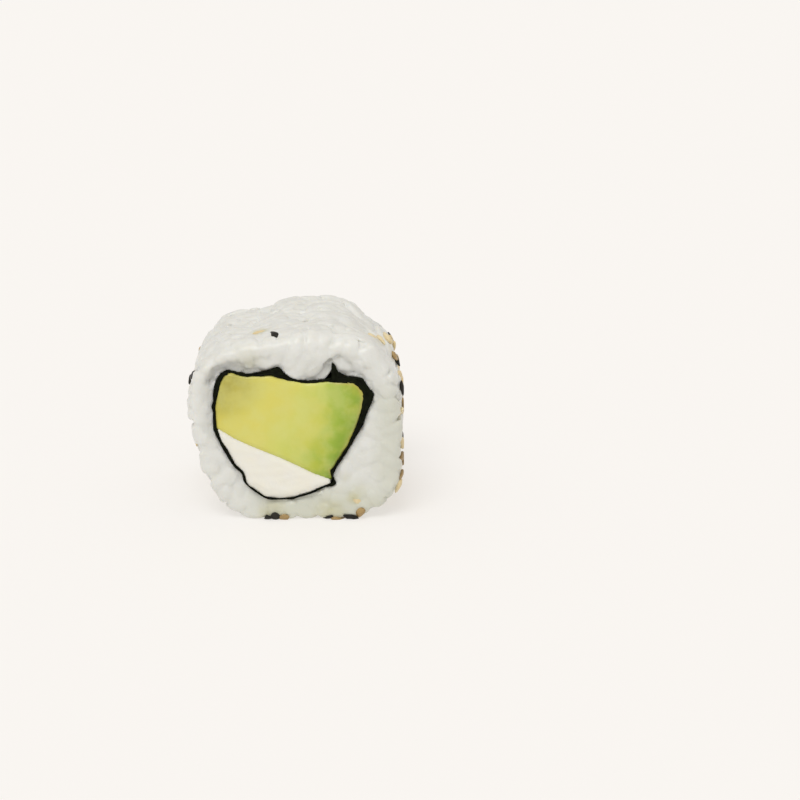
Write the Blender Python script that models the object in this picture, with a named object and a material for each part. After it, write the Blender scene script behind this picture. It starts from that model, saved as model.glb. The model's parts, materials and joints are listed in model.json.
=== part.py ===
"""Uramaki roll: one cut piece of inside-out sushi, lying on its side.

A thick coat of rice surrounds a sheet of nori, which wraps a slice of avocado and a strip of
cream cheese. Every layer runs through the piece from the front cut face (-Y) to the back one (+Y).
Metres, +Z up, origin in the middle of the underside.
"""

import math

import bmesh
import bpy
import numpy as np
from mathutils import Matrix, Vector, noise

MM = 0.001

# Driving dimensions
ROLL_LENGTH = 32.0 * MM      # between the two cut faces
GAP = 0.3 * MM               # between neighbouring layers
NORI_THICKNESS = 0.5 * MM    # the least thickness of the damp, swollen sheet
TWIST = math.radians(4.0)    # turn of the filling between the two faces
HOLE_EASE = math.radians(1.5)    # keeps the rice off the steep sides of the nori's folds
DRIFT = (0.9, -0.8)          # how far the filling moves over to the back face, in millimetres
ROLL_AXIS = (-1.0, 16.0)     # middle of the filling in X and Z, in millimetres

# Cut faces
RIM_TOP = 2.8 * MM           # how far the rice rounds over at the top edge of a cut
RIM_BOTTOM = 1.2 * MM        # and at the pressed bottom edge
RIM_CHANGE = 0.7             # how early the rounding grows on the way up, 0.5 or more
RIM_SHARE = 0.45             # the most of the coat's thickness that the rounding takes
FACE_DISH = 0.5 * MM         # how far the rice falls back towards the nori
HOLLOW_DEPTH = 1.6 * MM      # the deeper hollows above the nori
HOLLOWS = (52.0, 128.0)      # their directions from the axis, in degrees
HOLLOW_SPREAD = 26.0         # and how far each reaches to either side
NORI_INSET = 0.35 * MM       # the cut edge of the nori, behind the face
FILLING_INSET = 0.15 * MM    # the cut face of the filling, behind the face
FILLING_EDGE = 0.4 * MM      # the soft edge around a filling's cut face

# Uneven rice
LUMP_HEIGHT = 0.7 * MM
LUMP_SPACING = 5.0 * MM
FACE_LUMP_HEIGHT = 0.4 * MM
SIDE_SEED = 3.0
FACE_SEED = 8.0

# Mesh density
AROUND = 96
SIDE_STEPS = 12
CORE_STEPS = 4
FACE_STEPS = 4
RIM_STEPS = 3
CURVE_STEPS = 10
FILLING_STEPS = 3
BORDER_STEPS = 7
CREASE = math.radians(45.0)  # sharper turns than this are shaded as edges

# Outlines in X and Z, in millimetres, anticlockwise
RICE_FRONT = (
    (19.4, 16.3), (19.0, 22.2), (17.5, 27.4), (14.2, 31.1), (8.9, 32.9), (1.0, 33.1),
    (-5.9, 32.5), (-11.6, 31.0), (-16.1, 27.8), (-17.8, 23.4), (-17.5, 17.2), (-16.2, 11.0),
    (-14.2, 6.4), (-11.6, 2.6), (-7.4, -0.2), (1.0, -0.9), (9.4, -0.3), (15.2, 2.2),
    (17.9, 5.6), (19.0, 10.0),
)
RICE_BACK = (
    (18.6, 16.5), (18.3, 22.0), (16.2, 27.0), (12.5, 30.6), (7.5, 32.7), (0.6, 32.8),
    (-5.9, 31.6), (-12.0, 29.8), (-16.2, 26.3), (-17.6, 21.7), (-17.3, 15.4), (-16.4, 9.6),
    (-14.2, 4.8), (-10.6, 1.4), (-5.4, -0.6), (2.0, -0.9), (9.4, -0.3), (14.6, 2.4),
    (17.4, 6.2), (18.4, 11.0),
)
NORI_OUTER = (
    (12.0, 16.2), (13.4, 20.2), (14.3, 22.4), (13.3, 24.4), (11.9, 25.6), (9.4, 25.9),
    (8.4, 26.5), (7.5, 28.2), (4.6, 25.2), (1.8, 25.3), (-0.6, 26.0), (-2.1, 27.6),
    (-4.2, 26.8), (-7.4, 26.5), (-10.9, 27.1), (-12.7, 25.8), (-13.5, 23.4), (-13.6, 16.4),
    (-12.2, 13.4), (-9.9, 9.4), (-8.8, 8.0), (-8.4, 6.3), (-6.9, 5.1), (-4.4, 3.6),
    (0.3, 3.6), (3.6, 4.5), (6.2, 5.6), (7.8, 6.5), (7.5, 8.6), (9.8, 12.2),
)
FILLING = (
    (10.9, 16.3), (12.0, 19.6), (12.6, 22.1), (12.3, 23.4), (11.1, 24.7), (8.0, 24.9),
    (5.0, 24.4), (2.0, 24.3), (-0.6, 24.9), (-3.3, 25.8), (-7.2, 25.6), (-10.6, 26.1),
    (-12.0, 25.0), (-12.7, 22.4), (-12.8, 16.8), (-11.6, 14.2), (-9.2, 10.0), (-8.1, 8.4),
    (-7.6, 6.8), (-6.1, 5.9), (-4.2, 4.7), (0.0, 4.6), (3.2, 5.4), (6.6, 7.1), (6.6, 8.9),
    (8.9, 12.4),
)

# Where avocado and cream cheese meet
SPLIT = ((-20.0, 21.5), (-9.4, 14.4), (-5.5, 12.7), (-0.8, 10.7), (4.6, 7.9), (20.0, 3.0))

COLOURS = {
    "rice": (0.73, 0.71, 0.63),
    "nori": (0.012, 0.014, 0.008),
    "avocado": (0.62, 0.60, 0.14),
    "cream_cheese": (0.83, 0.79, 0.68),
}
ROUGHNESS = {"rice": 0.5, "nori": 0.4, "avocado": 0.35, "cream_cheese": 0.55}


def clear_scene():
    for item in list(bpy.data.objects):
        bpy.data.objects.remove(item, do_unlink=True)


def make_material(name):
    material = bpy.data.materials.new(name)
    material.use_nodes = True
    shader = material.node_tree.nodes["Principled BSDF"]
    shader.inputs["Base Color"].default_value = (*COLOURS[name], 1.0)
    shader.inputs["Roughness"].default_value = ROUGHNESS[name]
    shader.inputs["Metallic"].default_value = 0.0
    return material


def mix(low, high, share):
    return low + (high - low) * share


def smooth(value):
    value = min(1.0, max(0.0, value))
    return value * value * (3.0 - 2.0 * value)


def spline_point(p, t, at):
    """The centripetal Catmull-Rom point at parameter `at`, between p[1] and p[2]."""
    a = [mix(p[k], p[k + 1], (at - t[k]) / (t[k + 1] - t[k])) for k in range(3)]
    b = [mix(a[k], a[k + 1], (at - t[k]) / (t[k + 2] - t[k])) for k in range(2)]
    return mix(b[0], b[1], (at - t[1]) / (t[2] - t[1]))


def closed_curve(knots, steps):
    """A smooth loop through knots given in millimetres, with this many points from knot to knot."""
    loop = [Vector(knot) * MM for knot in knots]
    points = []
    for index in range(len(loop)):
        near = [loop[(index + step) % len(loop)] for step in (-1, 0, 1, 2)]
        times = [0.0]
        for first, second in zip(near, near[1:]):
            times.append(times[-1] + math.sqrt((second - first).length))
        for step in range(steps):
            points.append(spline_point(near, times, mix(times[1], times[2], step / steps)))
    return points


def radius_from(centre, loop):
    """The loop's distance from centre, as a function of the angle."""
    centre = Vector(centre) * MM
    spokes = sorted((math.atan2(p.y - centre.y, p.x - centre.x), (p - centre).length) for p in loop)
    angles, lengths = zip(*spokes)
    return lambda angle: float(np.interp(angle, angles, lengths, period=math.tau))


def split_height(x):
    """Height of the border between avocado and cream cheese."""
    places, heights = zip(*SPLIT)
    return float(np.interp(x / MM, places, heights)) * MM


def carried(point, y):
    """A point of the front section carried to depth y: the filling turns and drifts on its way."""
    share = 0.5 + y / ROLL_LENGTH
    axis = Vector(ROLL_AXIS) * MM
    offset = point - axis
    offset.rotate(Matrix.Rotation(TWIST * share, 2))
    place = axis + offset + Vector(DRIFT) * MM * share
    return Vector((place.x, y, place.y))


def spoke(centre, radius, angle):
    centre = Vector(centre) * MM
    return centre + Vector((math.cos(angle), math.sin(angle))) * radius


def ring_angles(count):
    return [math.tau * index / count for index in range(count)]


def skin(name, rings, endless):
    """One closed body through the rings: a ring-shaped one if endless, else capped at both ends."""
    work = bmesh.new()
    rows = [[work.verts.new(point) for point in ring] for ring in rings]
    pairs = list(zip(rows, rows[1:] + rows[:1])) if endless else list(zip(rows, rows[1:]))
    for lower, upper in pairs:
        for index in range(len(lower)):
            after = (index + 1) % len(lower)
            work.faces.new((lower[index], lower[after], upper[after], upper[index]))
    if not endless:
        for row in (rows[0], rows[-1]):
            middle = work.verts.new(sum((v.co for v in row), Vector()) / len(row))
            for index in range(len(row)):
                work.faces.new((row[index], row[(index + 1) % len(row)], middle))
    bmesh.ops.recalc_face_normals(work, faces=work.faces)
    bmesh.ops.triangulate(work, faces=work.faces)
    mesh = bpy.data.meshes.new(name)
    work.to_mesh(mesh)
    work.free()
    return mesh


def add_piece(name, mesh, collection):
    mesh.materials.append(make_material(name))
    mesh.shade_smooth()
    mesh.set_sharp_from_angle(angle=CREASE)
    piece = bpy.data.objects.new(name, mesh)
    collection.objects.link(piece)


def lump(point, height, seed):
    """Height of the packed grains over the smooth shape."""
    at = point / LUMP_SPACING + Vector((seed, 0.0, 0.0))
    return height * (noise.noise(at) + 0.4 * noise.noise(at * 2.1))


def hollow(angle):
    """How strongly the rice is hollowed out in this direction, from 0 to 1."""
    turn = [abs((math.degrees(angle) - way + 180.0) % 360.0 - 180.0) for way in HOLLOWS]
    return max(smooth(1.0 - off / HOLLOW_SPREAD) for off in turn)


def rice_side(angle, y, front, back):
    """A point on the outside of the rice, before any rounding at the rim."""
    share = smooth(0.5 + y / ROLL_LENGTH)
    point = spoke(ROLL_AXIS, mix(front(angle), back(angle), share), angle)
    push = lump(Vector((point.x, y, point.y)), LUMP_HEIGHT, SIDE_SEED)
    point += Vector((math.cos(angle), math.sin(angle))) * push
    return Vector((point.x, y, point.y))


def rim_radius(angle):
    """The rim is round on top and tight where the piece was pressed on the board."""
    return mix(RIM_BOTTOM, RIM_TOP, smooth(0.5 + RIM_CHANGE * math.sin(angle)))


def face_ring(end, step, front, back, hole):
    """One ring of a cut face: step 0 is on the side, the last one at the nori."""
    ring = []
    for angle in ring_angles(AROUND):
        radius = rim_radius(angle)
        bend = min(step / RIM_STEPS, 1.0) * math.pi / 2
        across = max(0.0, (step - RIM_STEPS) / FACE_STEPS)
        depth = radius * (1.0 - math.sin(bend))
        depth += (FACE_DISH + HOLLOW_DEPTH * hollow(angle)) * smooth(across)
        y = end * (ROLL_LENGTH / 2 - depth)
        outer = rice_side(angle, end * (ROLL_LENGTH / 2 - radius), front, back)
        inner = carried(spoke(ROLL_AXIS, hole(angle), angle), y)
        inward = inner - outer
        inward.y = 0.0
        shoulder = min(radius, RIM_SHARE * inward.length)
        point = outer + inward.normalized() * shoulder * (1.0 - math.cos(bend))
        point = mix(point, inner, across)
        point.y = y
        if 0 < step < RIM_STEPS + FACE_STEPS:
            point.y += lump(point, FACE_LUMP_HEIGHT, FACE_SEED)
        ring.append(point)
    return ring


def rice_rings(front, back, hole):
    """Rings over the side, round the back rim and face, through the hole and up the front face."""
    last = RIM_STEPS + FACE_STEPS
    side = []
    for step in range(1, SIDE_STEPS):
        reach = mix(-1.0, 1.0, step / SIDE_STEPS)
        side.append([rice_side(angle, reach * (ROLL_LENGTH / 2 - rim_radius(angle)), front, back)
                     for angle in ring_angles(AROUND)])
    back_face = [face_ring(1, step, front, back, hole) for step in range(last + 1)]
    front_face = [face_ring(-1, step, front, back, hole) for step in range(last + 1)]
    core = []
    for step in range(1, CORE_STEPS):
        depths = [mix(far.y, near.y, step / CORE_STEPS)
                  for far, near in zip(back_face[-1], front_face[-1])]
        core.append([carried(spoke(ROLL_AXIS, hole(angle), angle), y)
                     for angle, y in zip(ring_angles(AROUND), depths)])
    return side + back_face + core + front_face[::-1]


def make_rice(collection, rings):
    mesh = skin("rice", rings, endless=True)
    for vertex in mesh.vertices:
        vertex.co.z = max(vertex.co.z, 0.0)    # the underside is pressed flat
    add_piece("rice", mesh, collection)


def nori_rings(radius):
    """Sections of one side of the sheet, from front to back."""
    rings = []
    for step in range(CORE_STEPS + 1):
        y = mix(-0.5, 0.5, step / CORE_STEPS) * (ROLL_LENGTH - 2.0 * NORI_INSET)
        rings.append([carried(spoke(ROLL_AXIS, radius(angle), angle), y)
                      for angle in ring_angles(AROUND)])
    return rings


def make_nori(collection, outer, inner):
    rings = nori_rings(outer) + nori_rings(inner)[::-1]
    add_piece("nori", skin("nori", rings, endless=True), collection)


def filling_outline(loop, above):
    """The part of the filling's outline above or below the border, closed along the border."""
    clearance = GAP / 2 if above else -GAP / 2

    def height(point):
        return point.y - split_height(point.x) - clearance

    outline = []
    for point, after in zip(loop, loop[1:] + loop[:1]):
        if (height(point) > 0.0) == above:
            outline.append(point)
        if (height(point) > 0.0) != (height(after) > 0.0):
            crossing = mix(point, after, height(point) / (height(point) - height(after)))
            outline.append(crossing)
            if (height(point) > 0.0) == above:
                leaving = crossing
            else:
                entering = crossing
    where = outline.index(leaving) + 1
    for step in range(1, BORDER_STEPS):
        x = mix(leaving.x, entering.x, step / BORDER_STEPS)
        outline.insert(where, Vector((x, split_height(x) + clearance)))
        where += 1
    return outline


def make_filling(name, collection, outline):
    """A bar of filling with a soft edge around each cut face."""
    middle = sum(outline, Vector((0.0, 0.0))) / len(outline)
    small = [point + (middle - point).normalized() * FILLING_EDGE for point in outline]
    length = ROLL_LENGTH - 2.0 * FILLING_INSET
    shapes = [(0.0, small), (FILLING_EDGE / length, outline)]
    shapes += [(step / CORE_STEPS, outline) for step in range(1, CORE_STEPS)]
    shapes += [(1.0 - FILLING_EDGE / length, outline), (1.0, small)]
    rings = []
    for share, shape in shapes:
        rings.append([carried(point, mix(-0.5, 0.5, share) * length) for point in shape])
    add_piece(name, skin(name, rings, endless=False), collection)


def centre_on_origin(collection):
    """Move the layers together, so that the origin is in the middle of the underside."""
    corners = [vertex.co for piece in collection.objects for vertex in piece.data.vertices]
    middle = Vector([(min(c[axis] for c in corners) + max(c[axis] for c in corners)) / 2
                     for axis in range(3)])
    middle.z = min(c.z for c in corners)
    for piece in collection.objects:
        piece.data.transform(Matrix.Translation(-middle))


def main():
    clear_scene()
    collection = bpy.data.collections.new("uramaki_roll")
    bpy.context.scene.collection.children.link(collection)
    rice_front = radius_from(ROLL_AXIS, closed_curve(RICE_FRONT, CURVE_STEPS))
    rice_back = radius_from(ROLL_AXIS, closed_curve(RICE_BACK, CURVE_STEPS))
    nori_outer = radius_from(ROLL_AXIS, closed_curve(NORI_OUTER, CURVE_STEPS))
    filling_radius = radius_from(ROLL_AXIS, closed_curve(FILLING, CURVE_STEPS))

    def hole(angle):
        return max(nori_outer(angle + swing) for swing in (-HOLE_EASE, 0.0, HOLE_EASE)) + GAP

    def nori_inner(angle):
        return min(filling_radius(angle) + GAP, nori_outer(angle) - NORI_THICKNESS)

    make_rice(collection, rice_rings(rice_front, rice_back, hole))
    make_nori(collection, nori_outer, nori_inner)
    filling = closed_curve(FILLING, FILLING_STEPS)
    make_filling("avocado", collection, filling_outline(filling, above=True))
    make_filling("cream_cheese", collection, filling_outline(filling, above=False))
    centre_on_origin(collection)


main()
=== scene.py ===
import json
import math
import random

import bmesh
import bpy
import numpy as np
from mathutils import Matrix, Vector, noise
from mathutils.bvhtree import BVHTree

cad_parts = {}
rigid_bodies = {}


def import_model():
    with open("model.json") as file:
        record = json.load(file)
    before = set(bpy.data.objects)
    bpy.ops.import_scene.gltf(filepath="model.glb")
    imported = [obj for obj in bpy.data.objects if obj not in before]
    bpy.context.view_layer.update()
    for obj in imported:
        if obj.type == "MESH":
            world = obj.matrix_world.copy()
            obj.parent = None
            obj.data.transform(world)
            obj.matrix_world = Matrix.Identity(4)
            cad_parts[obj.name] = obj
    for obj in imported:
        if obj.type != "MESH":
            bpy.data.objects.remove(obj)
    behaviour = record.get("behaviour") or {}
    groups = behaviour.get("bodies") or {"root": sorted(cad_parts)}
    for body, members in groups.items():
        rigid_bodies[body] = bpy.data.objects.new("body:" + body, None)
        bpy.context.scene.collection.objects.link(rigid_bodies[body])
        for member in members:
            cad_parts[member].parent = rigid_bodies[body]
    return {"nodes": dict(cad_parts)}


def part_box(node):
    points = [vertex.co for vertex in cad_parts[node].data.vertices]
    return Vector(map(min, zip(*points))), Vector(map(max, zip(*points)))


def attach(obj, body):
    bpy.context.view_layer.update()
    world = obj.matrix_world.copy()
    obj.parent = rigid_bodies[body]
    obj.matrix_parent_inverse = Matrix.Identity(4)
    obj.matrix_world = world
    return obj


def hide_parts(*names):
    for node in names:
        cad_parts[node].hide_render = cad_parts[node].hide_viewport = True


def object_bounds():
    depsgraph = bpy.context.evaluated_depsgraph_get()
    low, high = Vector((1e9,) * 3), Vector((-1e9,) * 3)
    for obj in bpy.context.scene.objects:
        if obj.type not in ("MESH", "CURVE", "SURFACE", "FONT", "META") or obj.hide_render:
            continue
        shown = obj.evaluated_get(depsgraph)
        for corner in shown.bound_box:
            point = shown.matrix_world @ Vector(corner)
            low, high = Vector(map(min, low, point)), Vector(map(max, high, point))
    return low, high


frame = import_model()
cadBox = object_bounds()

mm = 0.001
scene = bpy.context.scene
cutLevel = (cadBox[1][1] - cadBox[0][1]) / 2 - 0.3 * mm     # the level of a cut face, from the middle


def say(stage):
    print("uramaki:", stage)


def clamp(value, low=0.0, high=1.0):
    return min(high, max(low, value))


def smoothStep(low, high, value):
    t = np.clip((value - low) / (high - low), 0.0, 1.0)
    return t * t * (3.0 - 2.0 * t)


# meshes

def newObject(name, mesh):
    ob = bpy.data.objects.new(name, mesh)
    scene.collection.objects.link(ob)
    return ob


def dropObject(ob):
    mesh = ob.data
    bpy.data.objects.remove(ob, do_unlink=True)
    bpy.data.meshes.remove(mesh)


def copyOfNode(node, name):
    # the frame's layers are loose triangles, so their copies are merged
    mesh = frame["nodes"][node].data.copy()
    mesh.name = name
    work = bmesh.new()
    work.from_mesh(mesh)
    bmesh.ops.remove_doubles(work, verts=work.verts, dist=0.01 * mm)
    work.to_mesh(mesh)
    work.free()
    mesh.materials.clear()
    for layer in list(mesh.uv_layers):
        mesh.uv_layers.remove(layer)
    return newObject(name, mesh)


def bake(ob):
    # the object's modifiers become plain mesh
    depsgraph = bpy.context.evaluated_depsgraph_get()
    mesh = bpy.data.meshes.new_from_object(ob.evaluated_get(depsgraph), depsgraph=depsgraph)
    mesh.name = ob.name
    ob.modifiers.clear()
    old = ob.data
    ob.data = mesh
    bpy.data.meshes.remove(old)
    return ob


def remeshed(ob, voxel, smoothing=0):
    step = ob.modifiers.new("voxels", "REMESH")
    step.mode = "VOXEL"
    step.voxel_size = voxel
    if smoothing:
        soft = ob.modifiers.new("soften", "SMOOTH")
        soft.factor = 0.5
        soft.iterations = smoothing
    return bake(ob)


def joined(name, *obs):
    work = bmesh.new()
    for ob in obs:
        work.from_mesh(ob.data)
    mesh = bpy.data.meshes.new(name)
    work.to_mesh(mesh)
    work.free()
    return newObject(name, mesh)


def vectorsOf(mesh, what="co"):
    flat = np.empty(len(mesh.vertices) * 3)
    mesh.vertices.foreach_get(what, flat)
    return flat.reshape(-1, 3)


def setPoints(mesh, points):
    mesh.vertices.foreach_set("co", points.ravel())
    mesh.update()


def setAttribute(mesh, name, values):
    layer = mesh.attributes.get(name) or mesh.attributes.new(name, "FLOAT", "POINT")
    layer.data.foreach_set("value", np.asarray(values, dtype=np.float32))


def treeOf(ob):
    mesh = ob.data
    mesh.calc_loop_triangles()
    return BVHTree.FromPolygons([v.co for v in mesh.vertices],
                                [t.vertices for t in mesh.loop_triangles])


def distances(points, tree, reach=100.0):
    found = (tree.find_nearest(Vector(point), reach)[3] for point in points)
    return np.array([reach if length is None else length for length in found])


def noiseAt(points, size, seed):
    # one smooth random value from -1 to 1 for each point
    shift = Vector((seed, -seed, 2.0 * seed))
    return np.array([noise.noise(Vector(point) / size + shift) for point in points])


def finishPiece(ob, material, slot, *nodes):
    ob.data.materials.clear()
    ob.data.materials.append(material)
    ob.data.polygons.foreach_set("material_index", [0] * len(ob.data.polygons))
    ob.data.shade_smooth()
    if nodes:
        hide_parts(*nodes)
    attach(ob, "root")
    say(f"{ob.name}, {sum(len(p.vertices) - 2 for p in ob.data.polygons)} triangles")


# node building

def addNode(tree, kind, x, y, inputs=None, **settings):
    node = tree.nodes.new(kind)
    node.location = (x, y)
    for key, value in settings.items():
        setattr(node, key, value)
    for key, value in (inputs or {}).items():
        if isinstance(value, bpy.types.NodeSocket):
            tree.links.new(value, node.inputs[key])
        else:
            node.inputs[key].default_value = value
    return node


def newGroup(name, kind, sockets):
    # sockets are (label, direction, type, first value)
    tree = bpy.data.node_groups.new(name, kind)
    for label, way, sort, value in sockets:
        socket = tree.interface.new_socket(label, in_out=way, socket_type="NodeSocket" + sort)
        if value is not None:
            socket.default_value = value
    start = addNode(tree, "NodeGroupInput", -900, 0)
    end = addNode(tree, "NodeGroupOutput", 900, 0)
    return tree, start.outputs, end.inputs


def randomValue(tree, sort, low, high, seed, x, y):
    slots = {"FLOAT_VECTOR": (0, 1, 0), "FLOAT": (2, 3, 1), "INT": (4, 5, 2)}[sort]
    node = addNode(tree, "FunctionNodeRandomValue", x, y, {slots[0]: low, slots[1]: high, "Seed": seed},
                   data_type=sort)
    return node.outputs[slots[2]]


def mixColour(tree, factor, first, second, x, y):
    node = addNode(tree, "ShaderNodeMix", x, y, {0: factor, 6: first, 7: second}, data_type="RGBA")
    return node.outputs[2]


def painted(tree, name, y):
    # a value painted on the points of the mesh
    return addNode(tree, "ShaderNodeAttribute", -1600, y, attribute_name=name).outputs["Fac"]


def placed(tree, group, x, y, **inputs):
    # a shared effect put into a material, with this material's own values
    node = addNode(tree, "ShaderNodeGroup", x, y, node_tree=group)
    for label, value in inputs.items():
        socket = node.inputs[label]
        if isinstance(value, bpy.types.NodeSocket):
            tree.links.new(value, socket)
        else:
            socket.default_value = value
    return node.outputs


# camera, light and floor

studio = {
    "elevation": 17.0,               # degrees above the floor
    "turn": -0.5,                    # degrees round from the front face
    "lens": 100.0,
    "distance": 400 * mm,
    "aside": 18.25 * mm,             # the aim, from the middle of the roll
    "above": 0.2 * mm,
    "backdrop": (0.962, 0.925, 0.882),
    "skyTop": 0.85,                  # light from overhead and from the horizon, as a share of the backdrop
    "skyLow": 0.55,
    "floorWhite": 0.40,              # a light table: it glows as much as it reflects
    "floorGlow": 0.56,
    "floorSize": 8.0,
    "keyFrom": (-0.2, -0.6, 1.0),    # where the soft key light stands
    "keyStrength": 1.15,
    "keySpread": 35.0,
}


def makeStudio():
    tilt, turn = math.radians(studio["elevation"]), math.radians(studio["turn"])
    towards = Vector((math.sin(turn) * math.cos(tilt), -math.cos(turn) * math.cos(tilt), math.sin(tilt)))
    facing = (-towards).to_track_quat("-Z", "Y")
    middle = (Vector(cadBox[0]) + Vector(cadBox[1])) / 2
    aim = middle + facing @ Vector((studio["aside"], studio["above"], 0.0))
    data = bpy.data.cameras.new("camera")
    data.lens = studio["lens"]
    data.clip_start = 10 * mm
    data.clip_end = 50.0
    camera = newObject("camera", data)
    camera.rotation_euler = facing.to_euler()
    camera.location = aim + towards * studio["distance"]
    scene.camera = camera

    world = bpy.data.worlds.new("softRoom")
    world.use_nodes = True
    tree = world.node_tree
    back = Vector(studio["backdrop"])
    height = addNode(tree, "ShaderNodeTexCoord", -1000, 0).outputs["Generated"]
    split = addNode(tree, "ShaderNodeSeparateXYZ", -800, 0, {0: height})
    rise = addNode(tree, "ShaderNodeMapRange", -600, 0, {"Value": split.outputs["Z"]})
    sky = mixColour(tree, rise.outputs[0], (*(back * studio["skyLow"]), 1.0),
                    (*(back * studio["skyTop"]), 1.0), -400, 0)
    seen = addNode(tree, "ShaderNodeLightPath", -600, 300).outputs["Is Camera Ray"]
    tree.links.new(mixColour(tree, seen, sky, (*back, 1.0), -200, 0),
                   tree.nodes["Background"].inputs["Color"])
    scene.world = world
    scene.view_settings.view_transform = "Standard"

    key = bpy.data.lights.new("softKey", "SUN")
    key.energy = studio["keyStrength"]
    key.angle = math.radians(studio["keySpread"])
    lamp = newObject("softKey", key)
    lamp.rotation_euler = Vector(studio["keyFrom"]).to_track_quat("Z", "Y").to_euler()

    half = studio["floorSize"] / 2
    mesh = bpy.data.meshes.new("floor")
    mesh.from_pydata([(-half, -half, 0), (half, -half, 0), (half, half, 0), (-half, half, 0)], [],
                     [(0, 1, 2, 3)])
    floor = newObject("floor", mesh)
    paper = bpy.data.materials.new("paleFloor")
    paper.use_nodes = True
    shader = paper.node_tree.nodes["Principled BSDF"]
    white = studio["floorWhite"]
    shader.inputs["Base Color"].default_value = (white, white, white, 1.0)
    shader.inputs["Roughness"].default_value = 1.0
    shader.inputs["Specular IOR Level"].default_value = 0.0
    shader.inputs["Emission Color"].default_value = (*back, 1.0)
    shader.inputs["Emission Strength"].default_value = studio["floorGlow"]
    mesh.materials.append(paper)


makeStudio()
say("studio ready")


# shared effects

def makeBlotches():
    tree, given, result = newGroup("softBlotches", "ShaderNodeTree", [
        ("Vector", "INPUT", "Vector", None), ("Base", "INPUT", "Color", None),
        ("Blotch", "INPUT", "Color", None), ("Scale", "INPUT", "Float", 300.0),
        ("Amount", "INPUT", "Float", 0.5), ("Edge", "INPUT", "Float", 0.15),
        ("Color", "OUTPUT", "Color", None)])
    cloud = addNode(tree, "ShaderNodeTexNoise", -600, 0,
                    {"Vector": given["Vector"], "Scale": given["Scale"], "Detail": 3.0, "Roughness": 0.55})
    low = addNode(tree, "ShaderNodeMath", -400, -200, {0: 0.5, 1: given["Edge"]}, operation="SUBTRACT")
    high = addNode(tree, "ShaderNodeMath", -400, -400, {0: 0.5, 1: given["Edge"]}, operation="ADD")
    mask = addNode(tree, "ShaderNodeMapRange", -150, 0,
                   {"Value": cloud.outputs["Fac"], "From Min": low.outputs[0], "From Max": high.outputs[0]},
                   interpolation_type="SMOOTHSTEP")
    share = addNode(tree, "ShaderNodeMath", 100, -150, {0: mask.outputs[0], 1: given["Amount"]},
                    operation="MULTIPLY")
    blotched = mixColour(tree, share.outputs[0], given["Base"], given["Blotch"], 350, 0)
    tree.links.new(blotched, result["Color"])
    return tree


def makeRelief():
    tree, given, result = newGroup("fineRelief", "ShaderNodeTree", [
        ("Vector", "INPUT", "Vector", None), ("Coarse", "INPUT", "Float", 400.0),
        ("Fine", "INPUT", "Float", 2500.0), ("Balance", "INPUT", "Float", 0.35),
        ("Height", "OUTPUT", "Float", None)])
    coarse = addNode(tree, "ShaderNodeTexNoise", -500, 150,
                     {"Vector": given["Vector"], "Scale": given["Coarse"], "Detail": 2.0})
    fine = addNode(tree, "ShaderNodeTexNoise", -500, -150,
                   {"Vector": given["Vector"], "Scale": given["Fine"], "Detail": 1.0})
    both = addNode(tree, "ShaderNodeMix", 0, 0,
                   {0: given["Balance"], 2: coarse.outputs["Fac"], 3: fine.outputs["Fac"]},
                   data_type="FLOAT")
    tree.links.new(both.outputs[0], result["Height"])
    return tree


def makeGloss():
    tree, given, result = newGroup("unevenGloss", "ShaderNodeTree", [
        ("Vector", "INPUT", "Vector", None), ("Scale", "INPUT", "Float", 500.0),
        ("Least", "INPUT", "Float", 0.3), ("Most", "INPUT", "Float", 0.6),
        ("Roughness", "OUTPUT", "Float", None)])
    cloud = addNode(tree, "ShaderNodeTexNoise", -500, 0,
                    {"Vector": given["Vector"], "Scale": given["Scale"], "Detail": 2.0})
    spread = addNode(tree, "ShaderNodeMapRange", 0, 0,
                     {"Value": cloud.outputs["Fac"], "From Min": 0.35, "From Max": 0.65,
                      "To Min": given["Least"], "To Max": given["Most"]})
    tree.links.new(spread.outputs[0], result["Roughness"])
    return tree


softBlotches, fineRelief, unevenGloss = makeBlotches(), makeRelief(), makeGloss()


def newMaterial(name, settings):
    material = bpy.data.materials.new(name)
    material.use_nodes = True
    tree = material.node_tree
    shader = tree.nodes["Principled BSDF"]
    for label, value in settings.items():
        shader.inputs[label].default_value = value
    place = addNode(tree, "ShaderNodeTexCoord", -1600, 0).outputs["Object"]
    return material, tree, shader, place


def surfaced(tree, shader, place, gloss, relief, strength, depth):
    # gloss is scale, least and most; relief is coarse and fine scale and the share of the fine
    sheen = placed(tree, unevenGloss, -900, -100, Vector=place,
                   **dict(zip(("Scale", "Least", "Most"), gloss)))
    tree.links.new(sheen["Roughness"], shader.inputs["Roughness"])
    rough = placed(tree, fineRelief, -900, -400, Vector=place,
                   **dict(zip(("Coarse", "Fine", "Balance"), relief)))
    bump = addNode(tree, "ShaderNodeBump", -250, -400,
                   {"Height": rough["Height"], "Strength": strength, "Distance": depth})
    tree.links.new(bump.outputs["Normal"], shader.inputs["Normal"])


# nori

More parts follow.
